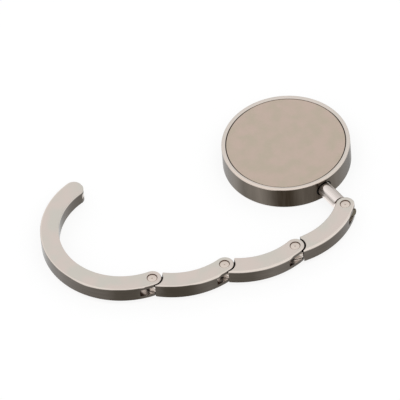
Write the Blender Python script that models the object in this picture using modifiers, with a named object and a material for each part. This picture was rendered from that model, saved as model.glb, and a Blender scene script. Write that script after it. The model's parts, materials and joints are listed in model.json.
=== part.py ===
"""Folding purse hook: a weighted disc lies on the table and a chain of three curved links
carries a C-shaped hook arm.

Folded, the links and the arm close into a ring round the disc. To open it, the post is pulled
out of the disc and the links unfold. All sizes are in metres, +Z is up, the origin is the
middle of the rubber pad's underside, and the post slides along +X.
"""

import math

import bmesh
import bpy
from mathutils import Matrix

MM = 0.001

# Case: a round casting with a sunk face plate above and a cored, covered underside. Its height
# follows from the side hole in its middle and the metal left under that hole.
CASE_RADIUS = 17.5 * MM
HOLE_WALL = 0.3 * MM
CASE_EDGE_ROUNDING = 0.4 * MM
CASE_FOOT_ROUNDING = 0.3 * MM
BEZEL_WIDTH = 1.15 * MM
FOOT_WIDTH = 1.7 * MM

# Face plate, back plate and rubber pad
PLATE_THICKNESS = 0.4 * MM
PLATE_SUNK = 0.1 * MM
PLATE_EDGE = 0.08 * MM
BACK_PLATE_THICKNESS = 0.4 * MM
PAD_THICKNESS = 0.7 * MM
PAD_PROUD = 0.5 * MM
PAD_EDGE = 0.2 * MM

# Clearances
INLAY_GAP = 0.12 * MM
LAYER_GAP = 0.04 * MM
RUNNING_GAP = 0.06 * MM
PRESS_GAP = 0.04 * MM
SHOULDER_GAP = 0.42 * MM
POST_SHOULDER_GAP = 0.35 * MM
TONGUE_GAP = 0.1 * MM

# Ring: every link and the arm follow one circle, which clears the case all round
RING_GAP = 0.3 * MM
LINK_WIDTH = 5.0 * MM
LINK_THICKNESS = 4.4 * MM
LINK_ARC = math.radians(58.3)
ARM_ARC = math.radians(165.3)
LINK_EDGE = 0.35 * MM

# Hinges between the links
PIN_RADIUS = 1.4 * MM
PIN_SUNK = 0.2 * MM
PIN_EDGE = 0.1 * MM
TONGUE_THICKNESS = 2.1 * MM
BARREL_RADIUS = 2.0 * MM
TONGUE_ROOT = 1.0 * MM
SLOT_DEPTH = 4.4 * MM
SHOULDER_SWEEP = math.radians(42)
INNER_CORNER_REACH = 3.45 * MM

# Arm tip: two rounds with a short flat between them, and a sawn groove that holds the magnet
TIP_FLAT = 0.6 * MM
TIP_INNER_ROUND = 1.9 * MM
TIP_GROOVE_HEIGHT = 1.4 * MM
TIP_GROOVE_DEPTH = 1.5 * MM
TIP_MAGNET_SUNK = 0.3 * MM
TIP_MAGNET_WIDTH = 2.0 * MM
TIP_MAGNET_LENGTH = 1.5 * MM

# Post: a round rod milled to a square-ended blade for the first hinge. The stop pin beside its
# waist limits the pull-out and lets it turn.
POST_RADIUS = 2.0 * MM
POST_TRAVEL = 6.99 * MM
POST_BLADE_NOSE = 2.4 * MM
POST_WAIST_RADIUS = 1.4 * MM
POST_HEAD_LENGTH = 3.0 * MM
POST_BACK_ROOM = 0.5 * MM
POST_EDGE = 0.2 * MM
STOP_PIN_RADIUS = 0.75 * MM
STOP_PIN_INSET = 10.8 * MM
STOP_PIN_PAST_AXIS = 1.7 * MM

# Guide bush that turns in the side hole, with the post sliding in it
SIDE_HOLE_RADIUS = 2.4 * MM
BUSH_SUNK = 0.8 * MM
BUSH_LENGTH = 3.6 * MM

# Magnet in the case near the closed arm's tip
CATCH_MAGNET_RADIUS = 2.5 * MM
CATCH_MAGNET_HEIGHT = 3.0 * MM
CATCH_MAGNET_INSET = 0.3 * MM
CATCH_MAGNET_WALL = 0.55 * MM

# Cored pockets in the underside of the casting
CORE_INNER_RADIUS = 6.0 * MM
CORE_WALL = 2.3 * MM
CORE_DEPTH = 3.6 * MM
CORE_START = math.radians(42)
CORE_END = math.radians(152)

# Angles by which each hinge stands open, from the ring closed round the case
HINGE_OPEN = [math.radians(a) for a in (40.23, 28.27, 53.25, 39.5)]

# Facets of round stretches, the angles that count as flat or sharp, and how far a cutter runs
# past what it cuts
ARC_STEP = math.radians(3.2)
SMALL_ARC_STEP = math.radians(11.25)
CASE_STEPS = 80
ROD_STEPS = 32
PIN_STEPS = 32
OVERRUN = 1.0 * MM
MERGE = 0.001 * MM
CURVE_MERGE = 0.00001 * MM
FLAT_ANGLE = math.radians(0.5)
SHARP_ANGLE = math.radians(32)
LEVEL_NORMAL = 0.9
COUNT_SLACK = 1e-9

# Places worked out from the sizes
RING_RADIUS = CASE_RADIUS + RING_GAP + LINK_WIDTH / 2
RING_INNER = RING_RADIUS - LINK_WIDTH / 2
RING_OUTER = RING_RADIUS + LINK_WIDTH / 2
PAD_TOP = PAD_THICKNESS
BACK_PLATE_BOTTOM = PAD_TOP + LAYER_GAP
BACK_PLATE_TOP = BACK_PLATE_BOTTOM + BACK_PLATE_THICKNESS
RECESS_ROOF = BACK_PLATE_TOP + LAYER_GAP
CASE_BOTTOM = PAD_PROUD
AXIS_HEIGHT = RECESS_ROOF + HOLE_WALL + SIDE_HOLE_RADIUS
CASE_TOP = 2 * AXIS_HEIGHT - CASE_BOTTOM
FIRST_PIN_X = RING_RADIUS + POST_TRAVEL
EAR_RADIUS = LINK_WIDTH / 2
SHOULDER_RADIUS = EAR_RADIUS + SHOULDER_GAP
TIP_OUTER_ROUND = LINK_WIDTH - TIP_INNER_ROUND - TIP_FLAT
SLOT_HEIGHT = TONGUE_THICKNESS + 2 * TONGUE_GAP
PLATE_RADIUS = CASE_RADIUS - BEZEL_WIDTH - INLAY_GAP
PLATE_SEAT = CASE_TOP - PLATE_SUNK - PLATE_THICKNESS - LAYER_GAP
RECESS_RADIUS = CASE_RADIUS - FOOT_WIDTH
STOP_PIN_X = CASE_RADIUS - STOP_PIN_INSET
STOP_PIN_Y = -(POST_WAIST_RADIUS + RUNNING_GAP + STOP_PIN_RADIUS)
STOP_PIN_LENGTH = AXIS_HEIGHT - RECESS_ROOF + STOP_PIN_PAST_AXIS
BORE_RADIUS = POST_RADIUS + RUNNING_GAP
POST_HEAD_FRONT = STOP_PIN_X - STOP_PIN_RADIUS - RUNNING_GAP
POST_BACK = POST_HEAD_FRONT - POST_HEAD_LENGTH
POST_WAIST_FRONT = STOP_PIN_X + STOP_PIN_RADIUS + RUNNING_GAP + POST_TRAVEL
BORE_END = POST_BACK - POST_TRAVEL - POST_BACK_ROOM
BLADE_SHOULDER_X = FIRST_PIN_X - EAR_RADIUS - POST_SHOULDER_GAP
BLADE_END_X = FIRST_PIN_X + POST_BLADE_NOSE
BUSH_FRONT = CASE_RADIUS - BUSH_SUNK
BUSH_BACK = BUSH_FRONT - BUSH_LENGTH


def clear_scene():
    for old in list(bpy.data.objects):
        bpy.data.objects.remove(old, do_unlink=True)
    for old in list(bpy.data.collections):
        bpy.data.collections.remove(old)


def new_collection(name):
    group = bpy.data.collections.new(name)
    bpy.context.scene.collection.children.link(group)
    return group


def finish(name, colour, roughness, metallic):
    surface = bpy.data.materials.new(name)
    surface.use_nodes = True
    shader = surface.node_tree.nodes["Principled BSDF"]
    shader.inputs["Base Color"].default_value = (*colour, 1)
    shader.inputs["Roughness"].default_value = roughness
    shader.inputs["Metallic"].default_value = metallic
    return surface


def on_circle(centre, radius, angle):
    return (centre[0] + radius * math.cos(angle), centre[1] + radius * math.sin(angle))


def arc(centre, radius, start, end, step):
    """Points on a circle from start to end, both included, no further apart than step."""
    count = max(1, math.ceil(abs(end - start) / step - COUNT_SLACK))
    return [on_circle(centre, radius, start + (end - start) * i / count) for i in range(count + 1)]


def side_angle(a, b, opposite):
    """Angle between sides a and b of a triangle, from its third side."""
    return math.acos((a * a + b * b - opposite * opposite) / (2 * a * b))


def put_in(group, thing):
    for old in list(thing.users_collection):
        old.objects.unlink(thing)
    group.objects.link(thing)
    return thing


def shade_round(thing):
    thing.data.shade_smooth()
    thing.data.set_sharp_from_angle(angle=SHARP_ANGLE)


def outline_solid(name, outlines, height, group, parent=None):
    """A flat plate from closed outlines, the later ones being holes, centred on its own z = 0."""
    curve = bpy.data.curves.new(name, "CURVE")
    curve.dimensions = "2D"
    curve.fill_mode = "BOTH"
    curve.extrude = height / 2
    curve.resolution_u = 1
    curve.render_resolution_u = 0
    for points in outlines:
        spline = curve.splines.new("POLY")
        spline.points.add(len(points) - 1)
        for point, (x, y) in zip(spline.points, points):
            point.co = (x, y, 0, 1)
        spline.use_cyclic_u = True
    drawn = bpy.data.objects.new(name + "_outline", curve)
    group.objects.link(drawn)
    bpy.context.view_layer.update()
    mesh = bpy.data.meshes.new_from_object(drawn.evaluated_get(bpy.context.evaluated_depsgraph_get()))
    bpy.data.objects.remove(drawn)
    shape = bmesh.new()
    shape.from_mesh(mesh)
    bmesh.ops.remove_doubles(shape, verts=shape.verts, dist=CURVE_MERGE)
    bmesh.ops.dissolve_limit(shape, angle_limit=FLAT_ANGLE, verts=shape.verts, edges=shape.edges)
    bmesh.ops.recalc_face_normals(shape, faces=shape.faces)
    shape.to_mesh(mesh)
    shape.free()
    solid = bpy.data.objects.new(name, mesh)
    solid.parent = parent
    group.objects.link(solid)
    return solid


def turned_solid(name, profile, group, steps, parent=None):
    """A turned piece. The profile is a list of (radius, height) that runs down its outer side."""
    mesh = bpy.data.meshes.new(name)
    count = len(profile)
    mesh.from_pydata([(r, 0, z) for r, z in profile], [(i, i + 1) for i in range(count - 1)], [])
    solid = bpy.data.objects.new(name, mesh)
    solid.parent = parent
    group.objects.link(solid)
    turn = solid.modifiers.new("turn", "SCREW")
    turn.steps = steps
    turn.render_steps = steps
    turn.use_merge_vertices = True
    turn.merge_threshold = MERGE
    turn.use_smooth_shade = True
    return solid


def rod(name, radius, length, group, steps, parent=None):
    """A cylinder centred on its own origin, along its own z."""
    bpy.ops.mesh.primitive_cylinder_add(vertices=steps, radius=radius, depth=length)
    solid = put_in(group, bpy.context.object)
    solid.name = name
    solid.data.name = name
    solid.parent = parent
    return solid


def block(name, size, group, parent=None):
    bpy.ops.mesh.primitive_cube_add(size=1)
    solid = put_in(group, bpy.context.object)
    solid.name = name
    solid.data.name = name
    solid.data.transform(Matrix.Diagonal((*size, 1)))
    solid.parent = parent
    return solid


def as_cutter(solid):
    solid.display_type = "WIRE"
    solid.hide_render = True
    return solid


def boolean(solid, other, operation):
    step = solid.modifiers.new(operation.lower() + "_" + other.name, "BOOLEAN")
    step.operation = operation
    step.solver = "EXACT"
    step.object = as_cutter(other)


def round_rims(solid, width, segments, keep_sharp=None):
    """Rounds the top and bottom rims of a plate, except where keep_sharp(x, y) is true."""
    shape = bmesh.new()
    shape.from_mesh(solid.data)
    weight = shape.edges.layers.float.new("bevel_weight_edge")
    for edge in shape.edges:
        low, high = sorted(v.co.z for v in edge.verts)
        flat_faces = [abs(face.normal.z) > LEVEL_NORMAL for face in edge.link_faces]
        if high - low > width or flat_faces.count(True) != 1:
            continue
        middle = (edge.verts[0].co + edge.verts[1].co) / 2
        if keep_sharp and keep_sharp(middle.x, middle.y):
            continue
        edge[weight] = 1
    shape.to_mesh(solid.data)
    shape.free()
    ease = solid.modifiers.new("round rims", "BEVEL")
    ease.limit_method = "WEIGHT"
    ease.width = width
    ease.segments = segments
    return ease


def pin_place(turned):
    """Where the ring passes at an angle from a pin, in that pin's frame (ring centre at -X)."""
    return on_circle((-RING_RADIUS, 0), RING_RADIUS, -turned)


def ear_outline():
    return arc((0, 0), EAR_RADIUS, 0, math.pi, SMALL_ARC_STEP)


def link_outline():
    """Plan of a link in its pin's frame: ear, inner flank, shoulder for the next ear, outer flank."""
    centre = (-RING_RADIUS, 0)
    far_pin = pin_place(LINK_ARC)
    horn_turn = side_angle(RING_OUTER, RING_RADIUS, SHOULDER_RADIUS)
    corner_turn = side_angle(RING_INNER, RING_RADIUS, INNER_CORNER_REACH)
    horn = on_circle(centre, RING_OUTER, -LINK_ARC + horn_turn)
    back = math.pi / 2 - LINK_ARC
    horn_angle = math.atan2(horn[1] - far_pin[1], horn[0] - far_pin[0])
    inner = arc(centre, RING_INNER, 0, -LINK_ARC + corner_turn, ARC_STEP)
    shoulder = arc(far_pin, SHOULDER_RADIUS, back + SHOULDER_SWEEP, horn_angle, SMALL_ARC_STEP)
    outer = arc(centre, RING_OUTER, -LINK_ARC + horn_turn, 0, ARC_STEP)
    return ear_outline() + inner[1:] + shoulder[:-1] + outer[:-1]


def arm_outline():
    """Plan of the hook arm in its pin's frame: ear, inner flank, rounded tip, outer flank."""
    centre = (-RING_RADIUS, 0)
    inner_round_at = RING_INNER + TIP_INNER_ROUND
    outer_round_at = RING_OUTER - TIP_OUTER_ROUND
    inner_turn = math.asin(TIP_INNER_ROUND / inner_round_at)
    outer_turn = math.asin(TIP_OUTER_ROUND / outer_round_at)
    inner_centre = on_circle(centre, inner_round_at, -ARM_ARC + inner_turn)
    outer_centre = on_circle(centre, outer_round_at, -ARM_ARC + outer_turn)
    end_face = -ARM_ARC + math.radians(270)
    inner = arc(centre, RING_INNER, 0, -ARM_ARC + inner_turn, ARC_STEP)
    inner_round = arc(
        inner_centre, TIP_INNER_ROUND, -ARM_ARC + inner_turn + math.pi, end_face, 2 * SMALL_ARC_STEP
    )
    outer_round = arc(
        outer_centre, TIP_OUTER_ROUND, end_face, -ARM_ARC + outer_turn + 2 * math.pi, SMALL_ARC_STEP
    )
    outer = arc(centre, RING_OUTER, -ARM_ARC + outer_turn, 0, ARC_STEP)
    return ear_outline() + inner[1:-1] + inner_round + outer_round[:-1] + outer[:-1]


def circle(centre, radius, steps):
    return arc(centre, radius, 0, 2 * math.pi, 2 * math.pi / steps)[:-1]


def tongue_outline(toward):
    """A tongue round a pin at the origin, with straight flanks running toward the body.

    Its root ends a little past the shoulder, before the ring's curve leaves its corner proud."""
    root = SHOULDER_RADIUS + TONGUE_ROOT
    barrel = arc((0, 0), BARREL_RADIUS, toward + math.pi / 2, toward + 3 * math.pi / 2, SMALL_ARC_STEP)
    along = (root * math.cos(toward), root * math.sin(toward))
    left = barrel[0]
    right = barrel[-1]
    return barrel + [
        (right[0] + along[0], right[1] + along[1]),
        (left[0] + along[0], left[1] + along[1]),
    ]


def add_tongue(solid, name, pin, toward, cutters, parent):
    """Joins a tongue with its pin hole to a body, round a pin at the given place."""
    tongue = outline_solid(
        name + "_tongue",
        [tongue_outline(toward), circle((0, 0), PIN_RADIUS + RUNNING_GAP, PIN_STEPS)],
        TONGUE_THICKNESS,
        cutters,
        parent,
    )
    tongue.location = (*pin, 0)
    boolean(solid, tongue, "UNION")


def cut_ears(solid, name, cutters, parent):
    """Saws the slot for the neighbour's tongue and drills the pin hole through both ears."""
    slot_length = SLOT_DEPTH + EAR_RADIUS + OVERRUN
    slot = block(name + "_slot", (LINK_WIDTH + 2 * OVERRUN, slot_length, SLOT_HEIGHT), cutters, parent)
    slot.location = (0, slot_length / 2 - SLOT_DEPTH, 0)
    boolean(solid, slot, "DIFFERENCE")
    hole = rod(
        name + "_pin_hole", PIN_RADIUS + PRESS_GAP, LINK_THICKNESS + 2 * OVERRUN, cutters, PIN_STEPS, parent
    )
    boolean(solid, hole, "DIFFERENCE")


def hinge_axis(name, place, turn, parent, group):
    """An empty on a hinge's axis. The pieces it carries turn about its own z."""
    axis = bpy.data.objects.new(name, None)
    axis.empty_display_size = LINK_WIDTH
    axis.location = (*place, 0)
    axis.rotation_euler = (0, 0, turn)
    axis.parent = parent
    group.objects.link(axis)
    return axis


def make_link(name, axis, parts, cutters, surface):
    link = outline_solid(name, [link_outline()], LINK_THICKNESS, parts, axis)
    far_pin = pin_place(LINK_ARC)

    def by_shoulder(x, y):
        return math.dist((x, y), far_pin) < INNER_CORNER_REACH - MERGE

    round_rims(link, LINK_EDGE, 2, by_shoulder)
    cut_ears(link, name, cutters, axis)
    add_tongue(link, name, far_pin, math.pi / 2 - LINK_ARC, cutters, axis)
    link.data.materials.append(surface)
    shade_round(link)
    return link


def make_arm(axis, parts, cutters, surface):
    arm = outline_solid("hook_arm", [arm_outline()], LINK_THICKNESS, parts, axis)
    round_rims(arm, LINK_EDGE, 2)
    cut_ears(arm, "hook_arm", cutters, axis)
    tip = pin_place(ARM_ARC)
    out_of_tip = -ARM_ARC - math.pi / 2
    groove = block(
        "tip_groove",
        (2 * TIP_GROOVE_DEPTH, LINK_WIDTH + 2 * OVERRUN, TIP_GROOVE_HEIGHT),
        cutters,
        axis,
    )
    groove.location = (*tip, 0)
    groove.rotation_euler = (0, 0, out_of_tip)
    boolean(arm, groove, "DIFFERENCE")
    pocket_depth = TIP_MAGNET_SUNK + TIP_MAGNET_LENGTH + LAYER_GAP
    pocket = block(
        "tip_pocket",
        (2 * pocket_depth, TIP_MAGNET_WIDTH + 2 * PRESS_GAP, TIP_GROOVE_HEIGHT - 2 * PRESS_GAP),
        cutters,
        axis,
    )
    pocket.location = (*tip, 0)
    pocket.rotation_euler = (0, 0, out_of_tip)
    boolean(arm, pocket, "DIFFERENCE")
    arm.data.materials.append(surface)
    shade_round(arm)
    return arm


def make_tip_magnet(axis, parts, surface):
    size = (TIP_MAGNET_LENGTH, TIP_MAGNET_WIDTH, TIP_GROOVE_HEIGHT - 4 * PRESS_GAP)
    magnet = block("tip_magnet", size, parts, axis)
    tip = pin_place(ARM_ARC)
    inward = -ARM_ARC + math.pi / 2
    place = on_circle(tip, TIP_MAGNET_SUNK + TIP_MAGNET_LENGTH / 2, inward)
    magnet.location = (*place, 0)
    magnet.rotation_euler = (0, 0, inward)
    magnet.data.materials.append(surface)
    return magnet


def make_pin(number, axis, parts, surface):
    pin = rod(f"hinge_pin_{number}", PIN_RADIUS, LINK_THICKNESS - 2 * PIN_SUNK, parts, PIN_STEPS, axis)
    round_rims(pin, PIN_EDGE, 1)
    pin.data.materials.append(surface)
    shade_round(pin)
    return pin


def make_post(base, parts, cutters, surface):
    """The rod lies along +X. Two flats milled on its far end leave the blade for the first link."""
    profile = [
        (0, BLADE_END_X),
        (POST_RADIUS - POST_EDGE, BLADE_END_X),
        (POST_RADIUS, BLADE_END_X - POST_EDGE),
        (POST_RADIUS, POST_WAIST_FRONT + POST_EDGE),
        (POST_RADIUS - POST_EDGE, POST_WAIST_FRONT),
        (POST_WAIST_RADIUS, POST_WAIST_FRONT),
        (POST_WAIST_RADIUS, POST_HEAD_FRONT),
        (POST_RADIUS - POST_EDGE, POST_HEAD_FRONT),
        (POST_RADIUS, POST_HEAD_FRONT - POST_EDGE),
        (POST_RADIUS, POST_BACK + POST_EDGE),
        (POST_RADIUS - POST_EDGE, POST_BACK),
        (0, POST_BACK),
    ]
    post = turned_solid("post", profile, parts, ROD_STEPS, base)
    post.rotation_euler = (0, math.pi / 2, 0)
    flat_length = BLADE_END_X + OVERRUN - BLADE_SHOULDER_X
    flat_height = POST_RADIUS + OVERRUN - TONGUE_THICKNESS / 2
    for side, label in ((1, "upper"), (-1, "lower")):
        flat = block(f"{label}_flat", (flat_length, 2 * (POST_RADIUS + OVERRUN), flat_height), cutters, base)
        height = side * (TONGUE_THICKNESS + flat_height) / 2
        flat.location = (BLADE_SHOULDER_X + flat_length / 2, 0, height)
        boolean(post, flat, "DIFFERENCE")
    hole = rod("post_pin_hole", PIN_RADIUS + RUNNING_GAP, LINK_THICKNESS, cutters, PIN_STEPS, base)
    hole.location = (FIRST_PIN_X, 0, 0)
    boolean(post, hole, "DIFFERENCE")
    post.data.materials.append(surface)
    return post


def make_guide_bush(base, parts, surface):
    inner = POST_RADIUS + RUNNING_GAP
    outer = SIDE_HOLE_RADIUS - RUNNING_GAP
    profile = [
        (inner, BUSH_FRONT),
        (outer, BUSH_FRONT),
        (outer, BUSH_BACK),
        (inner, BUSH_BACK),
        (inner, BUSH_FRONT),
    ]
    bush = turned_solid("guide_bush", profile, parts, ROD_STEPS, base)
    bush.rotation_euler = (0, math.pi / 2, 0)
    bush.data.materials.append(surface)
    return bush


def case_profile():
    """Half section of the case: plate seat, bezel, rounded rim, wall, foot and bottom recess."""
    seat_radius = CASE_RADIUS - BEZEL_WIDTH
    rim_centre = (CASE_RADIUS - CASE_EDGE_ROUNDING, CASE_TOP - CASE_EDGE_ROUNDING)
    rim = arc(rim_centre, CASE_EDGE_ROUNDING, math.pi / 2, 0, 2 * SMALL_ARC_STEP)
    foot_centre = (CASE_RADIUS - CASE_FOOT_ROUNDING, CASE_BOTTOM + CASE_FOOT_ROUNDING)
    foot = arc(foot_centre, CASE_FOOT_ROUNDING, 0, -math.pi / 2, 3 * SMALL_ARC_STEP)
    return (
        [(0, PLATE_SEAT), (seat_radius, PLATE_SEAT), (seat_radius, CASE_TOP)]
        + rim
        + foot
        + [(RECESS_RADIUS, CASE_BOTTOM), (RECESS_RADIUS, RECESS_ROOF), (0, RECESS_ROOF)]
    )


def core_outline(side):
    """A kidney-shaped core beside the post's bore, on the +Y side (1) or the -Y side (-1)."""
    start = side * CORE_START
    end = side * CORE_END
    outer_radius = RECESS_RADIUS - CORE_WALL
    outer = arc((0, 0), outer_radius, start, end, 2 * ARC_STEP)
    inner = arc((0, 0), CORE_INNER_RADIUS, end, start, 4 * ARC_STEP)
    return outer + inner


def make_case(parts, cutters, surface):
    case = turned_solid("case_body", case_profile(), parts, CASE_STEPS)
    bore_length = CASE_RADIUS + OVERRUN - BORE_END
    bore = rod("post_bore", BORE_RADIUS, bore_length, cutters, ROD_STEPS)
    bore.location = (BORE_END + bore_length / 2, 0, AXIS_HEIGHT)
    bore.rotation_euler = (0, math.pi / 2, 0)
    boolean(case, bore, "DIFFERENCE")
    seat_back = BUSH_BACK - LAYER_GAP
    hole_length = CASE_RADIUS + OVERRUN - seat_back
    hole = rod("side_hole", SIDE_HOLE_RADIUS, hole_length, cutters, ROD_STEPS)
    hole.location = (seat_back + hole_length / 2, 0, AXIS_HEIGHT)
    hole.rotation_euler = (0, math.pi / 2, 0)
    boolean(case, hole, "DIFFERENCE")
    pin_hole_length = STOP_PIN_LENGTH + LAYER_GAP + OVERRUN
    pin_hole = rod("stop_pin_hole", STOP_PIN_RADIUS + PRESS_GAP, pin_hole_length, cutters, PIN_STEPS // 2)
    pin_hole.location = (STOP_PIN_X, STOP_PIN_Y, RECESS_ROOF - OVERRUN + pin_hole_length / 2)
    boolean(case, pin_hole, "DIFFERENCE")
    pocket_height = CATCH_MAGNET_HEIGHT + LAYER_GAP + OVERRUN
    pocket = rod("magnet_pocket", CATCH_MAGNET_RADIUS + PRESS_GAP, pocket_height, cutters, PIN_STEPS)
    pocket.location = (*magnet_place(), RECESS_ROOF - OVERRUN + pocket_height / 2)
    boolean(case, pocket, "DIFFERENCE")
    for side, label in ((1, "left"), (-1, "right")):
        core_height = CORE_DEPTH + OVERRUN
        core = outline_solid(f"core_{label}", [core_outline(side)], core_height, cutters)
        core.location = (0, 0, RECESS_ROOF - OVERRUN + core_height / 2)
        boolean(case, core, "DIFFERENCE")
    case.data.materials.append(surface)
    return case


def magnet_place():
    """Beside the guide bush, as near the wall as the foot ring allows."""
    reach = RECESS_RADIUS - CATCH_MAGNET_INSET - CATCH_MAGNET_RADIUS
    aside = SIDE_HOLE_RADIUS + CATCH_MAGNET_WALL + CATCH_MAGNET_RADIUS
    return (math.sqrt(reach * reach - aside * aside), aside)


def make_face_plate(parts, surface):
    bottom = PLATE_SEAT + LAYER_GAP
    top = bottom + PLATE_THICKNESS
    profile = [
        (0, top),
        (PLATE_RADIUS - PLATE_EDGE, top),
        (PLATE_RADIUS, top - PLATE_EDGE),
        (PLATE_RADIUS, bottom),
        (0, bottom),
    ]
    plate = turned_solid("face_plate", profile, parts, CASE_STEPS)
    plate.data.materials.append(surface)
    return plate


def make_back_plate(parts, surface):
    radius = RECESS_RADIUS - INLAY_GAP
    profile = [
        (0, BACK_PLATE_TOP),
        (radius, BACK_PLATE_TOP),
        (radius, BACK_PLATE_BOTTOM),
        (0, BACK_PLATE_BOTTOM),
    ]
    plate = turned_solid("back_plate", profile, parts, CASE_STEPS)
    plate.data.materials.append(surface)
    return plate


def make_rubber_pad(parts, surface):
    radius = RECESS_RADIUS - INLAY_GAP
    profile = [(0, PAD_TOP), (radius, PAD_TOP), (radius, PAD_EDGE), (radius - PAD_EDGE, 0), (0, 0)]
    pad = turned_solid("rubber_pad", profile, parts, CASE_STEPS)
    pad.data.materials.append(surface)
    return pad


def make_catch_magnet(parts, surface):
    magnet = rod("catch_magnet", CATCH_MAGNET_RADIUS, CATCH_MAGNET_HEIGHT, parts, PIN_STEPS)
    magnet.location = (*magnet_place(), RECESS_ROOF + CATCH_MAGNET_HEIGHT / 2)
    magnet.data.materials.append(surface)
    shade_round(magnet)
    return magnet


def make_stop_pin(parts, surface):
    pin = rod("stop_pin", STOP_PIN_RADIUS, STOP_PIN_LENGTH, parts, PIN_STEPS // 2)
    pin.location = (STOP_PIN_X, STOP_PIN_Y, RECESS_ROOF + STOP_PIN_LENGTH / 2)
    pin.data.materials.append(surface)
    shade_round(pin)
    return pin


def build():
    clear_scene()
    parts = new_collection("purse_hook")
    guides = new_collection("axes")
    cutters = new_collection("cutters")

    polished = finish("polished zinc", (0.42, 0.39, 0.36), 0.18, 1)
    satin = finish("satin nickel", (0.62, 0.57, 0.52), 0.34, 1)
    plate_satin = finish("satin plate", (0.50, 0.44, 0.39), 0.42, 1)
    steel = finish("bright steel", (0.66, 0.63, 0.60), 0.22, 1)
    rubber = finish("black rubber", (0.03, 0.03, 0.03), 0.85, 0)
    nylon = finish("dark nylon", (0.05, 0.05, 0.05), 0.5, 0)
    magnet = finish("plated magnet", (0.45, 0.45, 0.46), 0.3, 1)

    make_case(parts, cutters, polished)
    make_face_plate(parts, plate_satin)
    make_back_plate(parts, steel)
    make_rubber_pad(parts, rubber)
    make_catch_magnet(parts, magnet)
    make_stop_pin(parts, steel)

    post_axis = hinge_axis("post_axis", (0, 0), 0, None, guides)
    post_axis.location = (0, 0, AXIS_HEIGHT)
    make_guide_bush(post_axis, parts, nylon)
    make_post(post_axis, parts, cutters, steel)

    axis = hinge_axis("hinge_1_axis", (FIRST_PIN_X, 0), HINGE_OPEN[0], post_axis, guides)
    for number, name in enumerate(("first_link", "second_link", "third_link"), 1):
        make_link(name, axis, parts, cutters, satin)
        make_pin(number, axis, parts, steel)
        turn = HINGE_OPEN[number] - LINK_ARC
        axis = hinge_axis(f"hinge_{number + 1}_axis", pin_place(LINK_ARC), turn, axis, guides)
    make_arm(axis, parts, cutters, satin)
    make_pin(4, axis, parts, steel)
    make_tip_magnet(axis, parts, magnet)


build()
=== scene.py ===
"""Looks of a folding purse hook: a weighted disc with a sliding post, three curved links and a
C-shaped arm, in satin and polished nickel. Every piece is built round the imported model."""
import json
import math

import bmesh
import bpy
from mathutils import Matrix, Vector


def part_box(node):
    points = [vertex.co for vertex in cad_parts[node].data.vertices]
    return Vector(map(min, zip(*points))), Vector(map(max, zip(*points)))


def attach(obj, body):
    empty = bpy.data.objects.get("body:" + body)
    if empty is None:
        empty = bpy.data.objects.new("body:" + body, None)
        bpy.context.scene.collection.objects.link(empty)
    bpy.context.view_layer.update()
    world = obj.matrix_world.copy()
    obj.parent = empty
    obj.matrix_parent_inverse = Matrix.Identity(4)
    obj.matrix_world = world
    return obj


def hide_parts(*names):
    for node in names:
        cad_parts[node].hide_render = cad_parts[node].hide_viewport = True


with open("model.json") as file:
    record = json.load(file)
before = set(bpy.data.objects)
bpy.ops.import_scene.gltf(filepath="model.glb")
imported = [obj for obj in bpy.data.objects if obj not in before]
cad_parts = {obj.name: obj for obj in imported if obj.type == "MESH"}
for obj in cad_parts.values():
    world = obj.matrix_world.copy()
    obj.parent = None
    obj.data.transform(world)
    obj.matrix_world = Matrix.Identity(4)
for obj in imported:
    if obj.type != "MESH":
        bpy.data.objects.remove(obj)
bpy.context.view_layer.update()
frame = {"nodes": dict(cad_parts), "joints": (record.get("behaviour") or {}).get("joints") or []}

# Case body
# A round zinc casting, nickel plated: bright bezel, polished wall with dark reflections painted on
# it, plain inside. The post's bore and the side hole are drilled from one side, the underside is
# cored to save metal.
MM = 0.001
CASE_SIDES = 192
BEZEL_WIDTH = 1.15 * MM
BEZEL_OUTER_ROUND = 0.2 * MM
BEZEL_INNER_ROUND = 0.16 * MM
SEAT_DEPTH = 0.54 * MM
FOOT_WIDTH = 1.7 * MM
FOOT_ROUND = 0.1 * MM
RECESS_DEPTH = 0.68 * MM
BORE_GAP = 0.06 * MM
FIT_GAP = 0.04 * MM
BORE_ROOM = 7.5 * MM
CORE_INNER = 6.0 * MM
CORE_OUTER = 13.5 * MM
CORE_DEPTH = 3.6 * MM
CORE_START = math.radians(42)
CORE_SWEEP = math.radians(110)
CORE_STEPS = 44
CUTTER_SPARE = 1.0 * MM
DRILL_SIDES = 64
NEARBY = 0.05 * MM
LEVEL = 0.9
SMOOTH_ANGLE = math.radians(32)


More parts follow.
